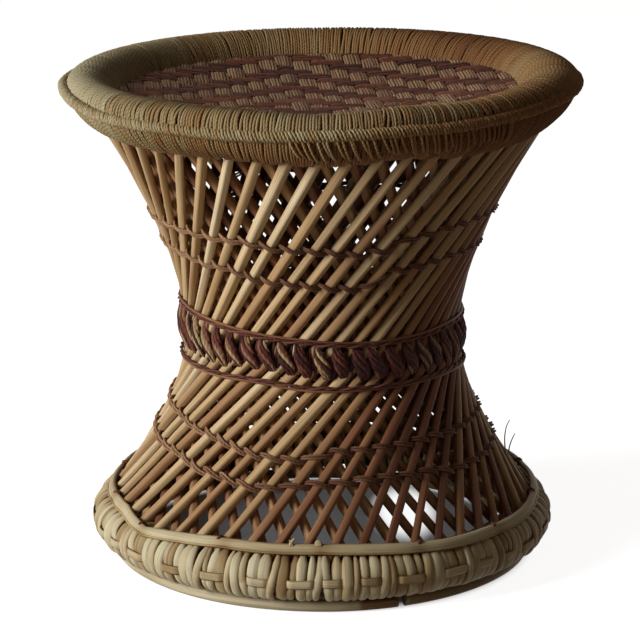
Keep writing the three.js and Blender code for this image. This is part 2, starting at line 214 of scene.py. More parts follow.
class Strands:
    """Tubes gathered into one mesh. Each point keeps a fibre coordinate, in metres, its strand's
    shade, and how far round the strand it lies."""

    def __init__(self, seed):
        self.rng = np.random.default_rng(seed)
        self.points, self.quads, self.caps = [], [], []
        self.fibre, self.shade, self.round = [], [], []
        self.size = 0

    def add(self, route, outward, width, thickness, shade, sides=8, closed=False, facets=0.0, square=0.0):
        """A tube along a route. Width lies across the outward direction and thickness along it. Facets is
        how uneven its section is, and square how flat its faces are, of which one looks out to the left."""
        route = np.asarray(route, float)
        count = len(route)
        along = unit(np.roll(route, -1, 0) - np.roll(route, 1, 0) if closed else np.gradient(route, axis=0))
        upward = unit(np.cross(np.broadcast_to(outward, route.shape), along))
        out = np.cross(along, upward)
        angle = steps_round(sides)
        lumps = 1 + facets * self.rng.uniform(-1, 1, sides)
        if square:
            tilted = angle - math.radians(self.rng.uniform(*SQUARE_TILT))
            power = 2 + 2 * square
            corners = np.abs(np.cos(tilted)) ** power + np.abs(np.sin(tilted)) ** power
            lumps = lumps * corners ** (-1 / power)
            lumps = lumps / lumps.mean()
        half_width, half_thick = (
            np.broadcast_to(np.asarray(size, float) / 2, (count,))[:, None] for size in (width, thickness)
        )
        across = half_thick * np.cos(angle) * lumps
        aside = half_width * np.sin(angle) * lumps
        ring = route[:, None] + out[:, None] * across[..., None] + upward[:, None] * aside[..., None]
        self.points.append(ring.reshape(-1, 3))
        length = np.broadcast_to(length_along(route)[:, None], across.shape)
        fibre = np.stack([length, across, aside], -1) + self.rng.uniform(0, FIBRE_SHIFT, 3)
        self.fibre.append(fibre.reshape(-1, 3))
        self.round.append(np.tile(angle_from(angle, 0) / FULL_TURN, count))
        self.shade.append(np.repeat(np.broadcast_to(np.asarray(shade, float), (count,)), sides))
        self._skin(count, sides, closed)
        self.size += count * sides

    def _skin(self, count, sides, closed):
        ring = np.arange(count if closed else count - 1)[:, None]
        here = self.size + ring * sides
        there = self.size + ((ring + 1) % count) * sides
        side = np.arange(sides)
        after = (side + 1) % sides
        quads = np.stack([here + side, there + side, there + after, here + after], -1)
        self.quads.append(quads.reshape(-1, 4))
        if not closed:
            last = self.size + (count - 1) * sides
            self.caps.append([self.size + s for s in range(sides)])
            self.caps.append([last + s for s in reversed(range(sides))])

    def build(self, name, material, slot, *nodes):
        """The mesh as a piece of the stool that stands for CAD nodes."""
        quads = np.concatenate(self.quads)
        mesh = bpy.data.meshes.new(name)
        mesh.from_pydata(np.concatenate(self.points), [], quads.tolist() + self.caps)
        smooth = np.ones(len(mesh.polygons), bool)
        smooth[len(quads):] = False
        mesh.polygons.foreach_set("use_smooth", smooth)
        fibre = mesh.attributes.new("fibre", "FLOAT_VECTOR", "POINT")
        fibre.data.foreach_set("vector", np.concatenate(self.fibre).astype(np.float32).ravel())
        for title, values in (("shade", self.shade), ("round", self.round)):
            kept = mesh.attributes.new(title, "FLOAT", "POINT")
            kept.data.foreach_set("value", np.concatenate(values).astype(np.float32))
        mesh.materials.append(material)
        piece = add_object(name, mesh)
        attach(piece, "root")
        if nodes:
            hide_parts(*nodes)


def add_object(name, data):
    made = bpy.data.objects.new(name, data)
    bpy.context.scene.collection.objects.link(made)
    return made


# Camera, floor and light

CAMERA_DISTANCE = 2.2
CAMERA_HEIGHT = 0.7685
CAMERA_DIP = math.radians(14.93)
PICTURE_WIDTH = 640
FOCAL_PIXELS = 2910
AXIS_PIXEL = 322
SENSOR = 36
FLOOR_HALF_SIZE = 6.0
FLOOR_COLOR = (0.8, 0.8, 0.8, 1)
FLOOR_BOUNCE_COLOR = (0.38, 0.32, 0.26, 1)
FLOOR_GLOW = 0.92
# Painted shade: the floor's glow is turned down under the stool, out to this radius and edge
PAINTED_SHADE_RADIUS = 150 * MM
PAINTED_SHADE_EDGE = 170 * MM
PAINTED_SHADE_GLOW = 0.01
# Painted light: a patch of glow on the floor inside the ring, as if light came through the canes
PAINTED_LIGHT_MIDDLE = (68 * MM, 70 * MM, 0)
PAINTED_LIGHT_SCALE = (1, 0.4, 1)
PAINTED_LIGHT_RADIUS = 14 * MM
PAINTED_LIGHT_EDGE = 34 * MM
WORLD_STRENGTH = 0.052
WORLD_COLOR = (1, 0.75, 0.57, 1)
WHITE = (1, 1, 1, 1)
KEY_AZIMUTH = math.radians(-63)
KEY_ELEVATION = math.radians(18)
KEY_DISTANCE = 2.6
KEY_SIZE = 1.2
KEY_POWER = 80
KEY_COLOR = (0.92, 0.96, 1)


def make_camera():
    data = bpy.data.cameras.new("camera")
    data.sensor_width = SENSOR
    data.lens = FOCAL_PIXELS / PICTURE_WIDTH * SENSOR
    data.shift_x = (PICTURE_WIDTH / 2 - AXIS_PIXEL) / PICTURE_WIDTH
    camera = add_object("camera", data)
    camera.location = (0, -CAMERA_DISTANCE, CAMERA_HEIGHT)
    camera.rotation_euler = (math.pi / 2 - CAMERA_DIP, 0, 0)
    bpy.context.scene.camera = camera


def node_maker(owner):
    """Clears the nodes of a material or world, and gives a function that adds one. Its inputs, by name or
    place, are sockets to join or plain values to set."""
    owner.use_nodes = True
    tree = owner.node_tree
    tree.nodes.clear()

    def add(kind, inputs=None, **settings):
        node = tree.nodes.new("ShaderNode" + kind)
        for key, value in settings.items():
            setattr(node, key, value)
        for key, value in (inputs or {}).items():
            if isinstance(value, bpy.types.NodeSocket):
                tree.links.new(value, node.inputs[key])
            else:
                node.inputs[key].default_value = value
        return node

    return add


def worked_out(add, operation, *values):
    """A number worked out from sockets and plain numbers."""
    return add("Math", dict(enumerate(values)), operation=operation).outputs[0]


def camera_share(add):
    """One for rays from the camera or off something shiny or clear, and zero for the light that falls."""
    path = add("LightPath").outputs
    seen = worked_out(add, "MAXIMUM", path["Is Camera Ray"], path["Is Glossy Ray"])
    return worked_out(add, "MAXIMUM", seen, path["Is Transmission Ray"])


def glow_ramp(add, middle, scale, inner, edge, first, last):
    """A value that goes from first to last with the distance from a place on the floor."""
    place = add("TexCoord").outputs["Object"]
    moved = add("VectorMath", {0: place, 1: middle}, operation="SUBTRACT").outputs[0]
    scaled = add("VectorMath", {0: moved, 1: scale}, operation="MULTIPLY").outputs[0]
    away = add("VectorMath", {0: scaled}, operation="LENGTH").outputs["Value"]
    ends = {"Value": away, "From Min": inner, "From Max": edge, "To Min": first, "To Max": last}
    return add("MapRange", ends, interpolation_type="SMOOTHSTEP").outputs[0]


def make_floor():
    """A pale floor that shows white, with painted shade under the stool, where its glow is turned down, and a
    painted patch of light inside the ring, where some glow comes back.
    """
    material = bpy.data.materials.new("floor_white")
    add = node_maker(material)
    diffuse = add("BsdfDiffuse", {"Color": FLOOR_COLOR}).outputs[0]
    bounce = add("BsdfDiffuse", {"Color": FLOOR_BOUNCE_COLOR}).outputs[0]
    # Painted shade under the stool, and a painted patch of light inside the ring
    under = glow_ramp(add, (0, 0, 0), (1, 1, 1), PAINTED_SHADE_RADIUS, PAINTED_SHADE_EDGE, PAINTED_SHADE_GLOW, FLOOR_GLOW)
    patch = glow_ramp(add, PAINTED_LIGHT_MIDDLE, PAINTED_LIGHT_SCALE, PAINTED_LIGHT_RADIUS, PAINTED_LIGHT_EDGE, FLOOR_GLOW, 0)
    glow = add("Emission", {"Strength": worked_out(add, "MAXIMUM", under, patch)}).outputs[0]
    both = add("AddShader", {0: diffuse, 1: glow}).outputs[0]
    seen = add("MixShader", {"Fac": camera_share(add), 1: bounce, 2: both}).outputs[0]
    add("OutputMaterial", {"Surface": seen})
    mesh = bpy.data.meshes.new("floor")
    size = FLOOR_HALF_SIZE
    corners = [(-size, -size, 0), (size, -size, 0), (size, size, 0), (-size, size, 0)]
    mesh.from_pydata(corners, [], [(0, 1, 2, 3)])
    mesh.materials.append(material)
    floor = add_object("floor", mesh)


def make_world():
    """A dim warm fill, and white wherever nothing stands."""
    world = bpy.data.worlds.new("studio")
    add = node_maker(world)
    fill = add("Background", {"Color": WORLD_COLOR, "Strength": WORLD_STRENGTH}).outputs[0]
    white = add("Background", {"Color": WHITE}).outputs[0]
    seen = add("MixShader", {"Fac": camera_share(add), 1: fill, 2: white}).outputs[0]
    add("OutputWorld", {"Surface": seen})
    bpy.context.scene.world = world


def make_key_lamp():
    """A square soft lamp that faces the middle of the stool."""
    data = bpy.data.lights.new("key", "AREA")
    data.shape = "SQUARE"
    data.size = KEY_SIZE
    data.energy = KEY_POWER
    data.color = KEY_COLOR
    lamp = add_object("key", data)
    rise = KEY_DISTANCE * math.sin(KEY_ELEVATION)
    lamp.location = place_at(KEY_AZIMUTH, KEY_DISTANCE * math.cos(KEY_ELEVATION), RIM_HEIGHT / 2 + rise)
    lamp.rotation_euler = (math.pi / 2 - KEY_ELEVATION, 0, KEY_AZIMUTH)


# Materials

CANE_COLORS = ["#d2ba94", "#c6a87c", "#b69367", "#9b714c", "#7d5036", "#5c3824"]
FOOT_CANE_COLORS = ["#cdbf9e", "#b5a380", "#977e58", "#80613f", "#6b4630", "#553527"]
SPLIT_CANE_COLORS = ["#c8bb97", "#b9a57f", "#a48b62", "#876a44", "#65472c"]
RIM_CORD_COLORS = ["#aa9d7c", "#9c8760", "#94734b", "#8c623c", "#744c30", "#523624"]
YARN_COLORS = ["#2e1512", "#49221b", "#683528", "#906a4c", "#a58e66"]
DARK_WEAVE_COLORS = ["#41241a", "#573022", "#6b3e2c", "#80513b"]
TAN_WEAVE_COLORS = ["#81604a", "#967457", "#a48363", "#8c6a50"]
GRASS_COLORS = ["#2a2016", "#43341f", "#5f4c2d"]
TWINE_COLORS = ["#482a1e", "#6b4732", "#8a6549", "#a5815f"]
HOOP_CORD_COLORS = ["#3c1e18", "#5a3025", "#85594a"]
CORD_STREAK = (120, 1800, 0.22)
CANE_STREAK = (16, 800, 0.34)
SPLIT_STREAK = (20, 800, 0.3)
WEAVE_STREAK = (120, 1500, 0.3)
SPECULAR = 0.12
SHEEN_ROUGHNESS = 0.5
BUMP_STRENGTH = 0.8
PLY_RELIEF = 0.45
SPLIT_PAINTED_EDGE_SHADE = 0.45
SIDE_FROM, SIDE_TO = 0.1, 0.25
STEM_SCALE = (60, 60, 900)
STEM_TONES = (0.35, 0.7)
STEM_ROUGHNESS = 0.9
STEM_SPECULAR = 0.2


def srgb(hex_color):
    """Linear colour of a hex string."""
    parts = [int(hex_color[i:i + 2], 16) / 255 for i in (1, 3, 5)]
    return [part / 12.92 if part <= 0.04045 else ((part + 0.055) / 1.055) ** 2.4 for part in parts]


def color_ramp(add, value, colors, first=0, last=1):
    """Colours at even steps of a value, from first to last."""
    ramp = add("ValToRGB", {"Fac": value})
    steps = ramp.color_ramp.elements
    while len(steps) < len(colors):
        steps.new(0.5)
    for step, place, color in zip(steps, np.linspace(first, last, len(colors)), colors):
        step.position = place
        step.color = (*srgb(color), 1)
    return ramp.outputs["Color"]


def weighted_sum(add, first, second, share):
    """The first value plus a share of the second."""
    return worked_out(add, "MULTIPLY_ADD", second, share, first)


def ply_furrow(add, fibre, length):
    """A wave from -1 to 1 that winds along a strand once in each length."""
    around = add("Attribute", attribute_name="round").outputs["Fac"]
    along = add("SeparateXYZ", {0: fibre}).outputs["X"]
    turns = weighted_sum(add, around, along, 1 / length)
    return worked_out(add, "SINE", worked_out(add, "MULTIPLY", turns, 2 * FULL_TURN))


def side_share(add):
    """Zero on a strand's outward face, and one at its two sides."""
    around = add("Attribute", attribute_name="round").outputs["Fac"]
    ends = {"Value": worked_out(add, "ABSOLUTE", around), "From Min": SIDE_FROM, "From Max": SIDE_TO}
    return add("MapRange", ends, interpolation_type="SMOOTHSTEP").outputs[0]


def strand_material(name, colors, streak, blotch, roughness, bump, ply=None, sheen=0.0, edge=0.0):
    """A fibrous surface. Colors run along the strands' shade. Streak is (along, across, strength): fine lines
    that follow the strand, by their scale per metre. Blotch is (scale, strength): wider patches. Ply is
    (length, depth): the furrows of a cord twisted once in that length; the depth darkens the colour in the
    furrows and lightens it on the plies, a painted shade and highlight. Edge is how much the shade grows
    towards the strand's sides, which darkens them as painted shade where strands meet."""
    material = bpy.data.materials.new(name)
    add = node_maker(material)
    shade = add("Attribute", attribute_name="shade").outputs["Fac"]
    fibre = add("Attribute", attribute_name="fibre").outputs["Vector"]
    place = add("TexCoord").outputs["Object"]
    patches = add("TexNoise", {"Vector": place, "Scale": blotch[0], "Detail": 3}).outputs["Fac"]
    tone = weighted_sum(add, worked_out(add, "ADD", shade, -blotch[1] / 2), patches, blotch[1])
    # Painted shade: the tone grows darker towards the strand's sides, where strands meet
    if edge:
        tone = weighted_sum(add, tone, side_share(add), edge)
    color = color_ramp(add, tone, colors)

    along, across, strength = streak
    stretched = add("Mapping", {"Vector": fibre, "Scale": (along, across, across)}).outputs[0]
    lines = add("TexNoise", {"Vector": stretched, "Scale": 1, "Detail": 4, "Roughness": 0.65}).outputs["Fac"]
    ends = {"From Min": 0.3, "From Max": 0.7, "To Min": 1 - strength, "To Max": 1 + strength * 0.6}
    level = add("MapRange", {"Value": lines, **ends}).outputs[0]
    height = lines
    if ply:
        length, depth = ply
        furrow = ply_furrow(add, fibre, length)
        height = weighted_sum(add, lines, furrow, PLY_RELIEF)
        # Painted shade and highlight: the colour darkens in the ply's furrows and lightens on the plies
        level = weighted_sum(add, level, furrow, depth)
    colored = add("VectorMath", {0: color, "Scale": level}, operation="SCALE").outputs[0]
    low, high = roughness
    gloss = add("MapRange", {"Value": lines, "To Min": low, "To Max": high}).outputs[0]
    relief = add("Bump", {"Height": height, "Distance": bump, "Strength": BUMP_STRENGTH}).outputs[0]
    surface = {
        "Base Color": colored,
        "Roughness": gloss,
        "Normal": relief,
        "Specular IOR Level": SPECULAR,
        "Sheen Weight": sheen,
        "Sheen Roughness": SHEEN_ROUGHNESS,
    }
    add("OutputMaterial", {"Surface": add("BsdfPrincipled", surface).outputs[0]})
    return material


def grass_material(name, colors):
    """Dry grass packed in a roll, on a CAD node, which carries no fibre coordinate."""
    material = bpy.data.materials.new(name)
    add = node_maker(material)
    place = add("TexCoord").outputs["Object"]
    stretched = add("Mapping", {"Vector": place, "Scale": STEM_SCALE}).outputs[0]
    stems = add("TexNoise", {"Vector": stretched, "Scale": 1, "Detail": 5}).outputs["Fac"]
    surface = {
        "Base Color": color_ramp(add, stems, colors, *STEM_TONES),
        "Roughness": STEM_ROUGHNESS,
        "Normal": add("Bump", {"Height": stems, "Distance": 1 * MM}).outputs[0],
        "Specular IOR Level": STEM_SPECULAR,
    }
    add("OutputMaterial", {"Surface": add("BsdfPrincipled", surface).outputs[0]})
    return material


def make_materials():
    """Colours, streak, blotch, roughness, bump, then ply where the strand is a twisted cord, then sheen."""
    looks = {
        "canes": ("cane_skin", CANE_COLORS, CANE_STREAK, (9, 0.22), (0.38, 0.62), 0.15),
        "foot": ("foot_cane_skin", FOOT_CANE_COLORS, CANE_STREAK, (14, 0.3), (0.4, 0.65), 0.2),
        "rim": ("grass_cord", RIM_CORD_COLORS, CORD_STREAK, (14, 0.45), (0.65, 0.9), 0.25, (6 * MM, 0.16)),
        "yarn": ("maroon_yarn", YARN_COLORS, CORD_STREAK, (60, 0.4), (0.5, 0.8), 0.3, (9 * MM, 0.18), 0.03),
        "grass": ("rim_grass", GRASS_COLORS, CORD_STREAK, (30, 0.4), (0.7, 0.95), 0.3),
        "dark": ("dark_weft", DARK_WEAVE_COLORS, WEAVE_STREAK, (14, 0.3), (0.5, 0.8), 0.3, (12 * MM, 0.12)),
        "tan": ("tan_warp", TAN_WEAVE_COLORS, CORD_STREAK, (12, 0.3), (0.65, 0.9), 0.25, (6 * MM, 0.14)),
        "twine": ("brown_twine", TWINE_COLORS, CORD_STREAK, (15, 0.3), (0.55, 0.8), 0.25, (7 * MM, 0.15)),
        "hoop": ("dark_cord", HOOP_CORD_COLORS, CORD_STREAK, (20, 0.3), (0.5, 0.75), 0.25, (7 * MM, 0.2)),
    }
    made = {key: strand_material(*look[:5], look[5] * MM, *look[6:]) for key, look in looks.items()}
    made["split"] = strand_material(
        "split_cane_skin", SPLIT_CANE_COLORS, SPLIT_STREAK, (30, 0.5), (0.4, 0.65), 0.2 * MM, edge=SPLIT_PAINTED_EDGE_SHADE
    )
    made["base_grass"] = grass_material("dry_grass", (GRASS_COLORS[0], GRASS_COLORS[2]))
    return made


# Canes

CANE_STATIONS = 36
CANE_SIDES = 16
WAIST_KINK = 0.5 * MM
WAIST_KINK_REACH = 8 * MM
CANE_BEND = 1.0 * MM
CANE_BOW = 0.25 * MM
CANE_TAPER = (0.96, 1.05)
CANE_FLATNESS = 0.9
CANE_SQUARE = (0.6, 1.8)
OUTER_SIZE = (1.04, 1.3)
INNER_SIZE = (1.18, 1.34)
OUTER_SHADE, INNER_BROWN_AND_PAINTED_SHADE = (0.26, 0.12), (0.62, 0.15)
REDDISH_AND_SHADED_MIDDLE, REDDISH_AND_SHADED_SPREAD = math.radians(78), math.radians(50)
REDDISH_AND_SHADED_TONE = 0.66
TIE_HOOP = 4 * MM


def cane_shade(azimuth, rng):
    """Straw and tan mostly, with the darker reddish canes gathered towards the front right: partly their own
    reddish colour, partly painted shade on the side away from the lamp.
    """
    # Painted shade, with the canes' own reddish colour: darker canes towards the right, away from the lamp
    reddish = REDDISH_AND_SHADED_TONE * near(azimuth, REDDISH_AND_SHADED_MIDDLE, REDDISH_AND_SHADED_SPREAD)
    return np.clip(rng.normal(*OUTER_SHADE) + reddish, 0.02, 0.98)


def cane_route(layer, azimuth, rng):
    """Middle line of a cane and the outward directions along it, straight with a slight natural bend."""
    height = np.linspace(CANE_FOOT_HEIGHT, CANE_TOP_HEIGHT, CANE_STATIONS)
    rise = height - WAIST_HEIGHT
    rise = rise + WAIST_KINK * np.tanh(rise / WAIST_KINK_REACH)
    across = layer.lean_sign * layer.lean(height) * rise
    ends = np.sin(np.linspace(0, math.pi, CANE_STATIONS))
    across = across + ends * slow_noise(rng, CANE_STATIONS, 5, CANE_BEND)
    inward = ends * slow_noise(rng, CANE_STATIONS, 6, CANE_BOW)
    sideways = outward_at(azimuth + math.pi / 2)
    level = across[:, None] * sideways + (layer.waist_radius + inward)[:, None] * outward_at(azimuth)
    level[:, 2] = height
    return level, outward_at(azimuth + layer.turn(height))


def add_cane(strands, layer, azimuth, shade, size):
    rng = strands.rng
    route, outward = cane_route(layer, azimuth, rng)
    swell = 1 + slow_noise(rng, CANE_STATIONS, 12, 0.05)
    thick = 2 * CANE_RADIUS * size * swell * np.linspace(*CANE_TAPER, CANE_STATIONS)
    tone = shade + slow_noise(rng, CANE_STATIONS, 9, 0.1)
    square = rng.uniform(*CANE_SQUARE)
    strands.add(route, outward, thick, thick * CANE_FLATNESS, tone, CANE_SIDES, facets=0.03, square=square)


def make_outer_canes(material):
    rng = np.random.default_rng(11)
    for count in range(CANE_COUNT):
        azimuth = count * CANE_STEP
        strands = Strands(100 + count)
        add_cane(strands, OUTER, azimuth, cane_shade(azimuth, rng), rng.uniform(*OUTER_SIZE))
        number = f"{count + 1:02d}"
        strands.build("cane_outer_" + number, material, "canes", "outer_cane_" + number)


def make_inner_canes(material):
    """The inner canes, and the hoop that ties them at the waist. The inner canes are darker than the outer
    ones: partly their own brown colour, partly painted shade for the stool's dark inside.
    """
    strands = Strands(seed=12)
    for count in range(CANE_COUNT):
        # Painted shade, with the canes' own brown colour: the inner canes' tones sit darker than the outer
        # ones'
        shade = np.clip(strands.rng.normal(*INNER_BROWN_AND_PAINTED_SHADE), 0.05, 0.98)
        add_cane(strands, INNER, count * CANE_STEP, shade, strands.rng.uniform(*INNER_SIZE))
    azimuth = steps_round(120)
    tie = place_at(azimuth, INNER.waist_radius - CANE_RADIUS, WAIST_HEIGHT)
    strands.add(tie, outward_at(azimuth), TIE_HOOP, TIE_HOOP, 0.6, closed=True)
    strands.build("cane_inner_layer", material, "inner_canes", "inner_canes")


# Base ring

RIB_COUNT = 164
RIB_STEPS = 44
RIB_THICKNESS = 4.0 * MM
RIB_INSET = RIB_THICKNESS / 2 + 0.4 * MM
RIB_BULGE = 1.1 * MM
RIB_DENT = 1.3 * MM
RIB_LIFT = 0.8 * MM
LOOSE_SHARE, LOOSE_SLANT = 0.1, 2.5
RIB_SHADE = (0.24, 0.2)
# Ribs darker and browner at the front right: partly their own colour, partly painted shade
BROWNER_AND_SHADED_MIDDLE, BROWNER_AND_SHADED_SPREAD, BROWNER_AND_SHADED_TONE = 0.7, 0.3, 0.22
RIBBON_WIDTH, RIBBON_THICKNESS = 6.8 * MM, 1.3 * MM
RIBBON_DEPTH, RIBBON_LIFT = 3.4 * MM, 4.0 * MM


def base_oval(angle, inset):
    """Radius and height of the base roll's outline. Angle 0 faces outwards and a quarter turn is the top."""
    radius = BASE_RADIUS + (BASE_HALF_WIDTH - inset) * np.cos(angle)
    height = BASE_HEIGHT + (BASE_HALF_DEPTH - inset) * np.sin(angle)
    return radius, height


def base_rib_places(rng):
    """Middle azimuth and width in radians of each rib of the binding."""
    shares = rng.uniform(0.7, 1.35, RIB_COUNT)
    spans = shares / shares.sum() * FULL_TURN
    return np.cumsum(spans) - spans / 2, spans


def rib_groups(rng):
    """For each rib, whether the level ribbon passes over it, in runs of two or three."""
    over = []
    is_over = True
    while len(over) < RIB_COUNT:
        over += [is_over] * int(rng.integers(2, 4))
        is_over = not is_over
    return np.array(over[:RIB_COUNT])


def make_base_binding(material):
    """Split cane bound round the roll. Each rib is widest on the outside and narrows over the top."""
    strands = Strands(seed=21)
    rng = strands.rng
    middles, spans = base_rib_places(rng)
    over = rib_groups(rng)
    angle = steps_round(RIB_STEPS)
    outside = within(1.5 * np.cos(angle))
    for middle, span, under_ribbon in zip(middles, spans, over):
        bulge = rng.uniform(0, RIB_BULGE) * outside
        dent = RIB_DENT * under_ribbon * near(angle, 0, 0.25)
        lift = RIB_LIFT * (not under_ribbon) * outside
        radius, height = base_oval(angle, RIB_INSET)
        radius = radius + (bulge + lift) * np.cos(angle) - dent
        height = height + bulge * np.sin(angle)
        loose = LOOSE_SLANT if rng.random() < LOOSE_SHARE else 1
        slant = rng.normal(0, 0.007) * np.sin(angle) + rng.normal(0, 0.004) * np.sin(2 * angle)
        azimuth = middle + loose * slant
        route = place_at(azimuth, radius, height)
        outward = place_at(azimuth, np.cos(angle), np.sin(angle))
        swell = rng.uniform(0.5, 0.66) + 0.55 * outside ** 1.5 + slow_noise(rng, RIB_STEPS, 15, 0.1)
        width = (BASE_RADIUS + BASE_HALF_WIDTH) * span * swell
        # Partly the binding's own brown colour, partly painted shade away from the lamp
        browner_and_shaded = BROWNER_AND_SHADED_TONE * near(middle, BROWNER_AND_SHADED_MIDDLE, BROWNER_AND_SHADED_SPREAD)
        # Painted shade: each rib darkens away from its outside face, over the top and inside of the roll
        painted_crease_shade = 0.35 * (1 - outside)
        tone = within(rng.normal(*RIB_SHADE) + browner_and_shaded) + painted_crease_shade + slow_noise(rng, RIB_STEPS, 9, 0.16)
        strands.add(route, outward, width, RIB_THICKNESS, tone, sides=12, closed=True, facets=0.06)
    strands.build("base_binding", material, "split_cane", "base_wrap")
    return middles, over


def make_base_ribbon(material, middles, over):
    """The level ribbon that is woven over and under the ribs."""
    strands = Strands(seed=22)
    places = np.concatenate([[middles[-1] - FULL_TURN], middles, [middles[0] + FULL_TURN]])
    azimuth = steps_round(900)
    lift = RIBBON_LIFT * smooth_curve(places, np.pad(over, 1, mode="wrap"), azimuth)
    radius = BASE_RADIUS + BASE_HALF_WIDTH - RIBBON_DEPTH + lift
    wave = 1.2 * MM * np.sin(3 * azimuth + 1) + 0.6 * MM * np.sin(11 * azimuth)
    route = place_at(azimuth, radius, BASE_HEIGHT - 0.5 * MM + wave)
    shade = 0.35 + 0.2 * np.sin(7 * azimuth)
    strands.add(route, outward_at(azimuth), RIBBON_WIDTH, RIBBON_THICKNESS, shade, closed=True)
    strands.build("base_ribbon", material, "split_cane", "base_wrap")


TOP_HOOP_TIES = 14
TOP_HOOP_WIDTH = 8.4 * MM
TOP_HOOP_THICKNESS = 4.4 * MM
TOP_HOOP_RADIUS = 164.6 * MM
TOP_HOOP_HEIGHT = 52.8 * MM
TOP_HOOP_RISE = {
    -180: 0, -110: -1.5, -85: -4, -66: -4.5, -51: -7.4, -40: -5, -28: -2.6, 0: -2, 12: -3, 22: -4.4, 32: -5.2,
    60: -5.2, 78: -3.5, 100: -1, 180: 0,
}
TOP_HOOP_OUT = {
    -180: 0, -110: 0.5, -85: 1.5, -66: 0.5, -60: 4, -51: 9, -40: 4, -28: 1, 0: 0.6, 12: 2, 22: 4.2, 32: 6.2,
    60: 6.4, 78: 4.5, 100: 1, 180: 0,
}
UNDER_CANE_WIDTH, UNDER_CANE_THICKNESS = 2.2 * MM, 2.6 * MM
TIE_WIDTH, TIE_THICKNESS = 1.3 * MM, 1.2 * MM
TIE_SPREAD = 0.63 * MM


def top_hoop_path(azimuth):
    """Middle line of the hoop on the base: pulled in a little at each tie, and kinked at the left."""
    pull = np.abs(np.sin(azimuth * TOP_HOOP_TIES / 2))
    radius = TOP_HOOP_RADIUS + length_at(TOP_HOOP_OUT, azimuth) + 0.8 * MM * (pull - 0.6)
    height = TOP_HOOP_HEIGHT + length_at(TOP_HOOP_RISE, azimuth) + 0.3 * MM * np.sin(5 * azimuth)
    return place_at(azimuth, radius, height), on_wall(azimuth, height, 0.0)[1]


def add_top_hoop(strands):
    """A flat cane hoop, and a thin darker cane along its lower edge."""
    azimuth = steps_round(480)
    route, outward = top_hoop_path(azimuth)
    tie = np.abs(np.cos(azimuth * TOP_HOOP_TIES / 2)) ** 24
    width = TOP_HOOP_WIDTH * (1 - 0.12 * tie) + 0.4 * MM * np.sin(9 * azimuth)
    tone = 0.22 + 0.12 * np.sin(4 * azimuth + 2) + 0.25 * tie
    strands.add(route, outward, width, TOP_HOOP_THICKNESS, tone, sides=14, closed=True, facets=0.04)
    upward = unit(np.cross(outward, np.roll(route, -1, 0) - route))
    below = route - (TOP_HOOP_WIDTH / 2 - 0.3 * MM) * upward + 0.5 * MM * outward
    strands.add(below, outward, UNDER_CANE_WIDTH, UNDER_CANE_THICKNESS, tone + 0.35, closed=True, facets=0.04)


def add_top_ties(strands):
    """Dark thread that comes up from the base ring and over the hoop's upper edge."""
    turns = steps_round(18)
    for count in range(TOP_HOOP_TIES):
        azimuth = (count + strands.rng.uniform(-0.1, 0.1)) * FULL_TURN / TOP_HOOP_TIES
        for aside in (-TIE_SPREAD, TIE_SPREAD):
            at = azimuth + aside / BASE_RADIUS + 0.007 * np.sin(turns)
            middle, across = top_hoop_path(at)
            upward = unit(np.cross(across, outward_at(at + math.pi / 2)))
            middle = middle - 0.9 * MM * across + 2.4 * MM * upward
            route = middle + across * (TOP_HOOP_THICKNESS / 2 + 0.8 * MM) * np.cos(turns)[:, None]
            route = route + upward * (TOP_HOOP_WIDTH / 2 - 1.9 * MM) * np.sin(turns)[:, None]
            shade = strands.rng.uniform(0, 0.4)
            strands.add(route, route - middle, TIE_WIDTH, TIE_THICKNESS, shade, sides=6, closed=True)


FOOT_HOOP_STEPS = 260
FOOT_HOOP_DEPTH = 8.9 * MM
REDDISH_STRETCH = math.radians(10)


def add_foot_hoop(strands):
    """A round cane bent into a ring, reddish just left of its butted ends, and darker on the right by painted
    shade on the side away from the lamp.
    """
    rng = strands.rng
    gap = BUTT_GAP / FOOT_HOOP_RADIUS
    azimuth = BUTT_AZIMUTH + gap / 2 + np.linspace(0, FULL_TURN - gap, FOOT_HOOP_STEPS)
    radius = FOOT_HOOP_RADIUS + slow_noise(rng, FOOT_HOOP_STEPS, 24, 0.3 * MM)
    route = place_at(azimuth, radius, FOOT_HOOP_HALF_WIDTH)
    from_butt = np.abs(angle_from(azimuth, BUTT_AZIMUTH - gap / 2))
    side = angle_from(azimuth, BUTT_AZIMUTH)
    reddish = 0.45 * (from_butt < REDDISH_STRETCH) * (side < 0)
    # Painted shade: the hoop darkens right of its butt, away from the lamp
    darker = smooth_curve([0, 20, 140, 180], [0.6, 1, 1, 0.4], np.degrees(np.maximum(side, 0)))
    tone = 0.14 + slow_noise(rng, FOOT_HOOP_STEPS, 20, 0.1) + reddish + 0.3 * darker * (side > 0)
    strands.add(route, outward_at(azimuth), 2 * FOOT_HOOP_HALF_WIDTH, FOOT_HOOP_DEPTH, tone, sides=16)


# Twined rows

UPPER_ROW = {
    -180: 277, -120: 276, -60: 275, -30: 274, -8: 269.5, 13: 266, 20: 268, 30: 276, 45: 279, 60: 280, 90: 279,
    135: 270, 180: 262, 240: 256.5, 290: 253.5, 322: 249, 340: 241.8, 373: 237, 387: 249.5, 420: 253.5,
    450: 251.5, 495: 245, 540: 240,
}
LOWER_ROW = {
    -180: 128, -120: 126, -68: 120.5, -50: 115.5, -18: 105.5, -8: 105.5, 5: 111, 40: 113, 70: 113, 110: 112,
    180: 107, 250: 100, 300: 95.5, 320: 89.5, 339: 84.8, 358: 89, 380: 92, 396: 91, 410: 87.5, 420: 88,
    450: 90, 495: 90, 540: 88,
}
TWINE_FRONT = 4.9 * MM
TWINE_BEHIND = -3.4 * MM
TWINE_SWING = 1.7 * MM
TWINE_CORD = 1.95 * MM
TWINE_STEPS = 2 * CANE_COUNT * 9


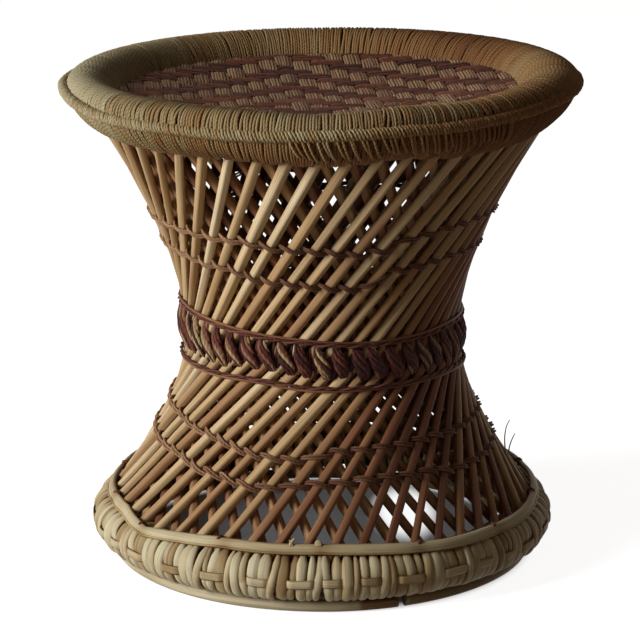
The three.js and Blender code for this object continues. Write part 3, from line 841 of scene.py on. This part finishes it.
def add_twining(strands, row):
    """Two strands of two cords each, that pass in turn before and behind the canes."""
    rng = strands.rng
    places = np.radians(list(row))
    azimuth = np.linspace(places[0], places[-1], TWINE_STEPS)
    middle = smooth_curve(places, list(row.values()), azimuth) * MM
    phase = math.pi * (azimuth - OUTER.turn(middle)) / CANE_STEP
    for strand in range(2):
        at = phase + strand * math.pi
        uneven = slow_noise(rng, TWINE_STEPS, 90, 0.5 * MM)
        ahead = (np.cos(at) + 1) / 2
        stand_off = TWINE_BEHIND + (TWINE_FRONT - TWINE_BEHIND) * ahead ** 0.8
        height = middle - TWINE_SWING * np.sin(at) + uneven
        for cord in (-1, 1):
            beside = cord * 0.52 * TWINE_CORD * (0.75 + 0.25 * np.cos(at))
            route, outward = on_wall(azimuth, height + beside, stand_off)
            # Paler on the left towards the lamp and darker to the right: partly the twine's own colour,
            # partly painted light and shade
            tone = 0.85 - 0.7 * past(azimuth, -1.1, 1.5) + slow_noise(rng, TWINE_STEPS, 60, 0.2)
            strands.add(route, outward, TWINE_CORD, TWINE_CORD, within(tone), sides=6)


# Waist

HOOP_DROP = 3.2 * MM
HOOP_RISE_ANGLE = math.radians(20)
HOOP_CANE_WIDTH, HOOP_CANE_THICKNESS = 1.9 * MM, 2.0 * MM
HOOP_CORD = 1.7 * MM
HOOP_LAY = 24 * MM
UPPER_RISE = {
    -180: 3, -130: 8, -95: 10.5, -72: 10, -50: 7, -30: 3.6, -20: 2.3, -10: 1.2, 0: -0.8, 10: -1.9, 20: -2.8,
    40: -2.2, 60: -0.3, 90: -1, 180: 3,
}
LOWER_RISE = {
    -180: -2, -120: 1, -60: 0.4, -45: 1, -30: 2.2, -20: 1.4, -10: -0.9, 0: -2, 20: -2.1, 50: -2.5, 66: -3.2,
    80: -5.5, 92: -7.5, 130: -5, 180: -2,
}
BRAID_STRANDS = 5
BRAID_STEPS = 26
BUNDLE_RADIUS = 3.8 * MM
BUNDLE_DEPTH = 1.5 * MM
YARN_WIDTH = 3.4 * MM
RETURN_STRANDS = 3
RETURN_PITCH = 2.6 * MM
RETURN_SLANT = 3.0 * MM
RETURN_THICKNESS = 3.2 * MM
INSIDE_WIDTH, INSIDE_THICKNESS = 7.4 * MM, 1.2 * MM


def hoop_heights(azimuth):
    """Heights of the lower and the upper hoop, which wander up and down round the waist."""
    lower = BRAID_LOW - HOOP_DROP + length_at(LOWER_RISE, azimuth)
    upper = BRAID_HIGH + HOOP_DROP + length_at(UPPER_RISE, azimuth)
    return lower, upper


def hoop_route(stand_off, away):
    """Once round below the band, up over it behind, and once round above it, off the band by away more."""
    low = math.pi + HOOP_RISE_ANGLE / 2 + (FULL_TURN - HOOP_RISE_ANGLE) * np.linspace(0, 1, 200)
    high = low + FULL_TURN
    lower = on_wall(low, hoop_heights(low)[0] - away, stand_off)
    upper = on_wall(high, hoop_heights(high)[1] + away, stand_off)
    share = np.array([-0.6, 0, 0.6])
    rise = math.pi + HOOP_RISE_ANGLE / 2 * share + FULL_TURN
    height = (BRAID_LOW + BRAID_HIGH) / 2 + share * (BRAID_HIGH - BRAID_LOW + away)
    over = place_at(rise, BRAID_OUTSIDE - 4.5 * MM + stand_off / 2, height)
    route = np.concatenate([lower[0], over, upper[0]])
    return route, np.concatenate([lower[1], outward_at(rise), upper[1]])


def refine(route, outward, steps):
    """The same line with its points spaced evenly and its corners eased."""
    length = length_along(route)
    at = np.linspace(0, length[-1], steps)
    return eased(eased(points_at(at, length, route))), unit(points_at(at, length, outward))


def add_hoop_cane(strands):
    """The split cane of the waist hoops, on the side away from the band, darkened towards the right by
    painted shade.
    """
    route, outward = refine(*hoop_route(CANE_RADIUS + 1.5 * MM, 1.4 * MM), 620)
    azimuth = np.arctan2(route[:, 0], -route[:, 1])
    # Painted shade: the cane darkens from the front towards the right, away from the lamp
    tone = 0.78 + 0.14 * past(azimuth, -0.2, 0.5) + slow_noise(strands.rng, len(route), 40, 0.15)
    strands.add(route, outward, HOOP_CANE_WIDTH, HOOP_CANE_THICKNESS, within(tone), facets=0.05)


def add_hoop_twist(strands):
    """The dark twisted cord of the waist hoops, on the side towards the band."""
    route, outward = refine(*hoop_route(CANE_RADIUS + 2.0 * MM, -1.0 * MM), 1600)
    upward = unit(np.cross(outward, unit(np.gradient(route, axis=0))))
    for strand in range(2):
        at = FULL_TURN * length_along(route) / HOOP_LAY + strand * math.pi
        twisted = route + HOOP_CORD / 2 * (outward * np.cos(at)[:, None] + upward * np.sin(at)[:, None])
        tone = 0.3 + 0.4 * strand + slow_noise(strands.rng, len(route), 60, 0.2)
        strands.add(twisted, outward, HOOP_CORD, HOOP_CORD, tone, sides=6)


def braid_shades(rng, middle):
    """Shades of one bundle's yarns: dark red, with olive ones among them, more of them towards the left. They
    run darker towards the right and darkest at the far right: partly the yarn's own colour, partly painted
    shade on the side away from the lamp.
    """
    side = past(middle, -1.1, 1.3)
    # Painted shade: yarns at the far right are made darker still
    darker = 1 - 0.5 * past(middle, 0.35, 0.6)
    shades = rng.uniform(0.05, 0.6 - 0.3 * side, BRAID_STRANDS) * darker
    olive = rng.random(BRAID_STRANDS) < 0.5 - 0.4 * side
    return np.where(olive, rng.uniform(0.7, 0.95, BRAID_STRANDS), shades)


def add_bundle(strands, count):
    """A slanting bundle of twisted yarn over an outer cane, from the cane's upper left to its lower right."""
    rng = strands.rng
    share = np.linspace(0, 1, BRAID_STEPS)
    swell = np.sin(share * math.pi)
    middle = count * CANE_STEP + rng.normal(0, 0.008)
    low, high = hoop_heights(middle)
    low = low + (8 - 3 * past(middle, 0, 0.5)) * MM + rng.normal(0, 0.7 * MM)
    high = high - 3.2 * MM
    height = high + (low - high) * share
    lean = (10 - 4 * near(middle, 0, 0.5)) * MM + rng.uniform(-1.5 * MM, 1.5 * MM)
    spin = rng.uniform(0, FULL_TURN)
    twist = rng.uniform(0.45, 0.9) * FULL_TURN
    fullness = rng.uniform(0.9, 1.12)
    thick = YARN_WIDTH * (0.7 + 0.32 * swell) * fullness
    for strand, shade in enumerate(braid_shades(rng, middle)):
        at = spin + strand * FULL_TURN / BRAID_STRANDS + twist * share
        aside = BUNDLE_RADIUS * np.sin(at) * (0.45 + 0.55 * swell) * fullness
        azimuth = middle + (lean * (smooth_step(share) - 0.5) + aside) / BRAID_OUTSIDE
        ahead = (CANE_RADIUS + 2.3 * MM) * np.sqrt(swell) + BUNDLE_DEPTH * np.cos(at) * swell
        route, outward = on_wall(azimuth, height, 0.8 * MM + ahead)
        tone = within(shade + slow_noise(rng, BRAID_STEPS, 4, 0.25))
        strands.add(route, outward, thick, thick, tone)


def add_return_yarn(strands, count):
    """The yarn that comes back up beside a bundle, lying on the canes, to the top of the next bundle."""
    rng = strands.rng
    share = np.linspace(0, 1, BRAID_STEPS)
    swell = np.sin(share * math.pi)
    middle = (count + 0.5) * CANE_STEP
    low, high = hoop_heights(middle)
    low, high = low + 7 * MM, high - 5 * MM
    for strand in range(RETURN_STRANDS):
        aside = (strand - (RETURN_STRANDS - 1) / 2) * RETURN_PITCH + rng.normal(0, 0.3 * MM)
        azimuth = middle + (aside + RETURN_SLANT * (share - 0.5)) / BRAID_OUTSIDE
        stand_off = (CANE_RADIUS + rng.uniform(0.5 * MM, 1.3 * MM)) * np.sqrt(swell) - 1 * MM
        route, outward = on_wall(azimuth, low + (high - low) * share, stand_off)
        tone = rng.uniform(0, 0.35) + slow_noise(rng, BRAID_STEPS, 5, 0.1)
        strands.add(route, outward, YARN_WIDTH, RETURN_THICKNESS, tone, sides=6)


def add_braid(strands):
    """Bundles of yarn in front of the canes, the yarn between them, and what shows of it from inside."""
    share = np.linspace(0, 1, 8)
    for count in range(CANE_COUNT):
        add_bundle(strands, count)
        add_return_yarn(strands, count)
        for behind in (-0.25, 0.25):
            azimuth = (count + 0.5 + behind) * CANE_STEP + 0.03 * (share - 0.5)
            low, high = hoop_heights(azimuth[0])
            height = low + 4 * MM + (high - low - 8 * MM) * share
            route, outward = on_wall(azimuth, height, -CANE_RADIUS - 0.4 * MM)
            shade = strands.rng.uniform(0, 0.3)
            strands.add(route, outward, INSIDE_WIDTH, INSIDE_THICKNESS, shade, sides=6)


# Rim

RIM_CORD = 2.35 * MM
RIM_TURNS = 520
RIM_STEPS = 34
RIM_SLIM = {-180: 1, -90: 4, -45: 3, -8: 2, 8: 2, 22: 3, 40: 4, 90: 5, 125: 3, 180: 1}
RIM_SWELL = {-180: 0, -45: 0, -8: -1.5, 8: -1.5, 22: 0.5, 40: 3, 90: 5.5, 125: 2, 180: 0}
RIM_DROP = {-180: 0, 25: 0, 50: 5, 85: 13, 105: 11, 140: 3, 180: 0}
RIM_RISE = {
    -180: 0.5, -90: -1, -45: -0.6, -28: 0.4, -21: 0.8, -12: -0.3, 0: -1.8, 10: 0, 18: 2, 26: 0.4, 37: -1.2,
    60: 1, 90: 1.6, 125: 2, 180: 0.5,
}
RIDGE_ANGLE = {
    -180: 52, -110: 58, -80: 57, -55: 43, -30: 44, -21: 41, -12: 46, 0: 55, 10: 52, 18: 49, 26: 51, 37: 57,
    60: 60, 90: 58, 130: 56, 180: 52,
}
RIDGE_INSET = {-180: 1.2, -110: 0.8, -88: -1.8, -65: -0.6, -45: 1.2, 180: 1.2}
# The rim cords' tone by azimuth: partly their own olive and brown colours, partly painted light, lightest on
# the left towards the lamp and darkest at the back right
RIM_TONE_AND_PAINTED_LIGHT = {
    -180: 0.5, -150: 0.45, -125: 0.26, -95: 0.14, -60: 0.14, -35: 0.23, -12: 0.32, 20: 0.43, 60: 0.48,
    100: 0.38, 135: 0.76, 158: 0.58, 180: 0.5,
}
PIT_DEPTH = {
    -180: 0, -150: 0.1, -70: 0.05, -30: 0.05, -8: 0.2, 8: 0.5, 40: 0.55, 70: 0.5, 95: 0.25, 130: 0.1, 180: 0,
}
PIT_ANGLE, PIT_SPREAD, PIT_DRAW = math.radians(64), 0.3, 0.27
PIT_DIP = 0.25 * MM
TUCK_ANGLE, TUCK_SPREAD, TUCK_DRAW = math.radians(-68), 0.62, 0.45
TUCK_DIP = 0.45 * MM
TUCK_HEIGHT = 342 * MM
TURN_LIFTS = (-0.5 * MM, 0.3 * MM)
TURN_SHADE = 0.08


def rim_oval(azimuth, angle, inset):
    """Radius and height of the rim roll's outline, whose long way leans outwards. It has come out slimmer
    below the ridge, and on the right fuller inside and deeper below."""
    tables = (RIM_SLIM, RIM_SWELL, RIM_DROP, RIM_RISE)
    slim, swell, drop, rise = (length_at(table, azimuth) for table in tables)
    half_short = RIM_HALF_SHORT - inset + np.where(np.cos(angle) > 0, -slim, swell)
    half_long = RIM_HALF_LONG - inset + np.where(np.sin(angle) > 0, 0.35 * np.maximum(swell, 0), drop)
    across = half_short * np.cos(angle)
    up = half_long * np.sin(angle)
    outwards = across * math.cos(RIM_TILT) + up * math.sin(RIM_TILT)
    upwards = up * math.cos(RIM_TILT) - across * math.sin(RIM_TILT)
    return RIM_RADIUS + outwards, RIM_HEIGHT + upwards + rise


def on_rim(azimuth, angle, inset):
    """Points on the rim roll, and the directions square to it."""
    route = place_at(azimuth, *rim_oval(azimuth, angle, inset))
    return route, unit(route - place_at(azimuth, *rim_oval(azimuth, angle, inset + RIM_CORD)))


def bundle_middles(rng, count, least, most):
    """The middle turn of the bundle that each turn belongs to, for bundles of random size."""
    middles = np.zeros(count)
    start = 0
    while start < count:
        size = min(int(rng.integers(least, most + 1)), count - start)
        middles[start:start + size] = start + (size - 1) / 2
        start += size
    return middles


def add_rim_cord(strands):
    """Cord wound round the rim roll. Its turns draw together above the ridge, and below between the canes."""
    rng = strands.rng
    turn = np.arange(RIM_TURNS * RIM_STEPS) / RIM_STEPS
    index = turn.astype(int)
    angle = FULL_TURN * (turn % 1) - math.pi / 2
    pitch = FULL_TURN / RIM_TURNS
    even = math.pi + turn * pitch
    bundle = bundle_middles(rng, RIM_TURNS, 3, 5)
    to_middle = (bundle - np.arange(RIM_TURNS))[index] * pitch
    pits = curve_at(PIT_DEPTH, even)
    above = near(angle, PIT_ANGLE, PIT_SPREAD) * pits
    below = near(angle, TUCK_ANGLE, TUCK_SPREAD)
    cane_turn = float(OUTER.turn(TUCK_HEIGHT))
    gap = (np.round((even - cane_turn) / CANE_STEP - 0.5) + 0.5) * CANE_STEP + cane_turn
    wander = rng.normal(0, 0.3, RIM_TURNS)[index] * pitch * np.sin(angle * 2 + index)
    azimuth = even + PIT_DRAW * to_middle * above + TUCK_DRAW * (gap - even) * below + wander
    uneven = rng.uniform(*TURN_LIFTS, RIM_TURNS)[index] * (0.3 + 0.7 * pits)
    lift = uneven - PIT_DIP * above * np.abs(to_middle) / pitch
    sunk = TUCK_DIP * below * (1 - np.cos((even - gap) / CANE_STEP * FULL_TURN))
    route, outward = on_rim(azimuth, angle, RIM_CORD / 2 + 0.25 * MM - lift + sunk)
    odd = rng.normal(0, TURN_SHADE, RIM_TURNS)[bundle.astype(int)] + rng.normal(0, TURN_SHADE, RIM_TURNS)
    # Painted shade below the ridge, strongest on the right, and painted light on the upper and inner cords at
    # the left
    low = within((value_at(RIDGE_ANGLE, even) - np.degrees(angle)) / 15)
    right, left = past(even, -0.7, 1.0), past(even, -0.7, -0.6)
    tone = curve_at(RIM_TONE_AND_PAINTED_LIGHT, even) + (0.08 + 0.29 * right) * low - 0.12 * left * (1 - low)
    tone = within(tone + odd[index] * (0.45 + 0.55 * pits))
    strands.add(route, outward, RIM_CORD, RIM_CORD, tone, sides=5)


GRASS_STEMS = 40
GRASS_STEM = 4.4 * MM


def add_rim_grass(strands):
    """The stems that lie side by side round the roll, under the cord."""
    azimuth = steps_round(150)
    for stem in range(GRASS_STEMS):
        angle = stem * FULL_TURN / GRASS_STEMS + slow_noise(strands.rng, len(azimuth), 9, 0.03)
        route, outward = on_rim(azimuth, angle, RIM_CORD + 0.5 * MM + GRASS_STEM / 2)
        tone = strands.rng.uniform(0, 1)
        strands.add(route, outward, GRASS_STEM, GRASS_STEM, tone, sides=6, closed=True)


RIDGE_STARTS = 4
RIDGE_TURNS = 118
RIDGE_STEPS = 14
RIDGE_CORD = 2.4 * MM
LOOP_FIRST, LOOP_LAST = math.radians(-7), math.radians(44)
LOOP_COUNT = 38
LOOP_DROP = 58
LOOP_SLANT = math.radians(2.4)


def add_rim_ridge(strands):
    """Slanting cords wound over the ridge that runs round the outside of the rim."""
    rng = strands.rng
    steps = RIDGE_TURNS * RIDGE_STEPS
    turn = np.arange(steps) / RIDGE_STEPS
    angle = -FULL_TURN * turn
    for start in range(RIDGE_STARTS):
        uneven = slow_noise(rng, steps, 400, 0.16)
        azimuth = math.pi + (turn + (start + uneven) / RIDGE_STARTS) * FULL_TURN / RIDGE_TURNS
        reach = RIDGE_HALF_WIDTH - RIDGE_CORD / 2 + slow_noise(rng, steps, 500, 0.35 * MM)
        on_roll = np.radians(value_at(RIDGE_ANGLE, azimuth))
        radius, height = rim_oval(azimuth, on_roll, length_at(RIDGE_INSET, azimuth))
        route = place_at(azimuth, radius + reach * np.cos(angle), height + reach * np.sin(angle))
        outward = place_at(azimuth, np.cos(angle), np.sin(angle))
        # Painted shade: the ridge cords darken from the front towards the right, away from the lamp
        tone = curve_at(RIM_TONE_AND_PAINTED_LIGHT, azimuth) * 0.6 + 0.05 + 0.28 * past(azimuth, 0, 0.8)
        tone = within(tone + slow_noise(rng, steps, 300, 0.14))
        strands.add(route, outward, RIDGE_CORD, RIDGE_CORD, tone, sides=6)
    add_ridge_loops(strands)


def add_ridge_loops(strands):
    """Slack cords that hang slanting from the ridge at the front right."""
    rng = strands.rng
    share = np.linspace(0, 1, 12)
    for first in np.linspace(LOOP_FIRST, LOOP_LAST, LOOP_COUNT):
        angle = np.radians(value_at(RIDGE_ANGLE, first) - LOOP_DROP * rng.uniform(0.75, 1.1) * share)
        azimuth = first + rng.normal(0, 0.006) + LOOP_SLANT * share ** 1.3
        route, outward = on_rim(azimuth, angle, 0.5 * MM - 1.6 * MM * np.sin(share * math.pi) ** 0.5)
        # Painted shade: the loops darken towards the right, away from the lamp
        tone = curve_at(RIM_TONE_AND_PAINTED_LIGHT, azimuth) + 0.08 + 0.3 * past(azimuth, 0, 0.8) + rng.normal(0, TURN_SHADE)
        strands.add(route, outward, RIM_CORD, RIM_CORD, within(tone), sides=6)


# Seat

COLUMN_PITCH = 13.8 * MM
ROW_PITCH = 12.3 * MM
TAN_STRANDS = 6
DARK_STRANDS = 3
TAN_TURN = math.radians(6)
DARK_TURN = math.radians(1.5)
APEX = np.array([-15, -15.5]) * MM
WEAVE_SWING = 2.2 * MM
SEAT_CORD_THICKNESS = 2.2 * MM
SEAT_DEPTH = 3.6 * MM
SEAT_SAG = 12 * MM
SEAT_LEVEL_RADIUS = 25 * MM
SEAT_LEAN = 2.4 * MM
SEAT_REACH = SEAT_RADIUS + 2.2 * MM
SEAT_EDGE = 12 * MM


def tan_is_over(column, row):
    """Twill whose steps turn at the middle column and row, so that it makes nested diamonds."""
    return np.mod(np.abs(column) + np.abs(row), 4) < 2


def weave_lift(band, place, is_tan):
    """Height of a band over the middle of the weave, from -1 to 1, at places counted in crossed bands."""
    before = np.floor(place).astype(int)
    share = smooth_step(within((place - before - 0.27) / 0.46))
    first, second = (np.where(tan_is_over(band, at) == is_tan, 1.0, -1.0) for at in (before, before + 1))
    return first + (second - first) * share


def seat_surface(radius):
    """Height of the seat's top, which sags to a level middle."""
    share = within((radius - SEAT_LEVEL_RADIUS) / (SEAT_RADIUS - SEAT_LEVEL_RADIUS))
    return SEAT_TOP - SEAT_SAG * (1 - share ** 2)


def add_seat_bands(strands, is_tan):
    """One set of bands, each of several cords side by side, from edge to edge of the seat."""
    rng = strands.rng
    tan_way = np.array([-math.sin(TAN_TURN), math.cos(TAN_TURN)])
    dark_way = np.array([math.cos(DARK_TURN), math.sin(DARK_TURN)])
    if is_tan:
        along, across, pitch, crossed, cords = tan_way, dark_way, COLUMN_PITCH, ROW_PITCH, TAN_STRANDS
    else:
        along, across, pitch, crossed, cords = dark_way, tan_way, ROW_PITCH, COLUMN_PITCH, DARK_STRANDS
    bands = int(SEAT_REACH * 2 / pitch) + 2
    width = pitch * 0.985 / cords
    for band in range(-bands, bands + 1):
        shade = within(rng.normal(0.45, 0.22))
        crown = rng.uniform(0.6 * MM, 1.3 * MM)
        for cord in range(cords):
            part = (cord + 0.5) / cords - 0.5
            start = APEX + (band * pitch + part * cords * width) * across
            nearest = -start @ along
            off_middle = np.linalg.norm(start + nearest * along)
            if off_middle > SEAT_REACH - 3 * MM:
                continue
            half = math.sqrt(SEAT_REACH ** 2 - off_middle ** 2)
            count = max(int(8 * half / crossed), 4)
            at = np.linspace(nearest - half, nearest + half, count)
            flat = start + at[:, None] * along
            radius = np.linalg.norm(flat, axis=1)
            edge = within((SEAT_REACH - radius) / SEAT_EDGE)
            lift = weave_lift(band, at / crossed, is_tan) * WEAVE_SWING * (0.5 + 0.5 * edge)
            lean = SEAT_LEAN * flat[:, 0] / SEAT_RADIUS
            height = seat_surface(radius) + lean - SEAT_DEPTH + lift + crown * (1 - 4 * part ** 2)
            height = height + rng.uniform(-0.2 * MM, 0.2 * MM)
            wander = slow_noise(rng, count, max(count // 6, 2), 0.35 * MM)
            route = np.column_stack([flat + wander[:, None] * across, height])
            tone = within(shade + rng.normal(0, 0.2) + slow_noise(rng, count, 5, 0.15))
            strands.add(route, (0, 0, 1), width * rng.uniform(1.1, 1.25), SEAT_CORD_THICKNESS, tone, sides=6)


# Stray ends

# Each fibre's points in millimetres
STRAY_FIBRES = (
    ((153, 0, 54), (147.5, 0, 64), (145, 0, 75), (144.3, 0, 86), (145.5, 0, 95), (148.5, 0, 101)),
    ((154, 2, 53), (149, 2, 61), (147.5, 2, 70), (148.5, 2, 78), (150.5, 2, 84), (153, 2, 89)),
)
# Azimuth, width, length and bend
HOOP_STUBS = (
    (math.radians(-8.2), 2.6 * MM, 7 * MM, 0.5),
    (math.radians(-7.6), 2.0 * MM, 5.5 * MM, -0.4),
    (math.radians(-1.0), 6.0 * MM, 5.5 * MM, 0.0),
)
FIBRE_STEPS = 24
FIBRE_WIDTHS = np.linspace(1.7, 0.7, FIBRE_STEPS) * MM
FIBRE_THICKNESS = 0.8 * MM
STUB_THICKNESS = 1.0 * MM


def add_stray_ends(strands):
    """Two loose fibres at the right of the base ring, and short torn ends at the front of its hoop."""
    for points in STRAY_FIBRES:
        at = np.linspace(0, len(points) - 1, FIBRE_STEPS)
        route = eased(points_at(at, np.arange(len(points)), np.array(points) * MM))
        strands.add(route, (0, -1, 0), FIBRE_WIDTHS, FIBRE_THICKNESS, 0.1, sides=6)
    share = np.linspace(0, 1, 10)
    for azimuth, wide, length, bend in HOOP_STUBS:
        route, across = top_hoop_path(azimuth + bend * length * share ** 2 / BASE_RADIUS)
        route = route + across * (1.2 * MM - 1.8 * MM * share)[:, None]
        route[:, 2] += 1.5 * MM + length * share
        strands.add(route, across, wide * (1 - 0.5 * share ** 3), STUB_THICKNESS, 0.35, facets=0.1)


def finish_base_core(grass):
    """The base's grass roll keeps its CAD shape, with a material of its own."""
    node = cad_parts["base_core"]
    node.data.materials.clear()
    node.data.materials.append(grass)


# The other pieces: each one's function, random seed, name, material, slot and CAD node, and what else
# the function takes
PIECES = (
    (add_top_hoop, 23, "base_top_cane", "split", "split_cane", "base_top_hoop"),
    (add_top_ties, 24, "base_top_ties", "twine", "twined_cord", "base_top_hoop"),
    (add_foot_hoop, 25, "foot_cane", "foot", "foot_cane", "foot_hoop"),
    (add_twining, 26, "twine_upper", "twine", "twined_cord", "upper_twining", UPPER_ROW),
    (add_twining, 27, "twine_lower", "twine", "twined_cord", "lower_twining", LOWER_ROW),
    (add_hoop_cane, 31, "waist_hoop_cane", "canes", "hoop_cord", "waist_hoops"),
    (add_hoop_twist, 32, "waist_hoop_twist", "hoop", "hoop_cord", "waist_hoops"),
    (add_braid, 33, "waist_yarn", "yarn", "dark_yarn", "waist_braid"),
    (add_rim_grass, 43, "rim_grass", "grass", "grass_roll", "rim_core"),
    (add_rim_cord, 41, "rim_cord", "rim", "rim_cord", "rim_cord_wrap"),
    (add_rim_ridge, 42, "rim_ridge", "rim", "rim_cord", "rim_cord_wrap"),
    (add_stray_ends, 61, "stray_ends", "split", "split_cane", "base_top_hoop"),
    (add_seat_bands, 51, "seat_tan_bands", "tan", "seat_weave", "woven_seat", True),
    (add_seat_bands, 52, "seat_dark_bands", "dark", "seat_weave", "woven_seat", False),
)


def main():
    bpy.context.scene.view_settings.view_transform = "Standard"
    make_camera()
    make_floor()
    make_world()
    make_key_lamp()
    looks = make_materials()
    make_outer_canes(looks["canes"])
    make_inner_canes(looks["canes"])
    middles, over = make_base_binding(looks["split"])
    make_base_ribbon(looks["split"], middles, over)
    for add_strands, seed, name, look, slot, node, *more in PIECES:
        strands = Strands(seed)
        add_strands(strands, *more)
        strands.build(name, looks[look], slot, node)
    finish_base_core(looks["base_grass"])


main()
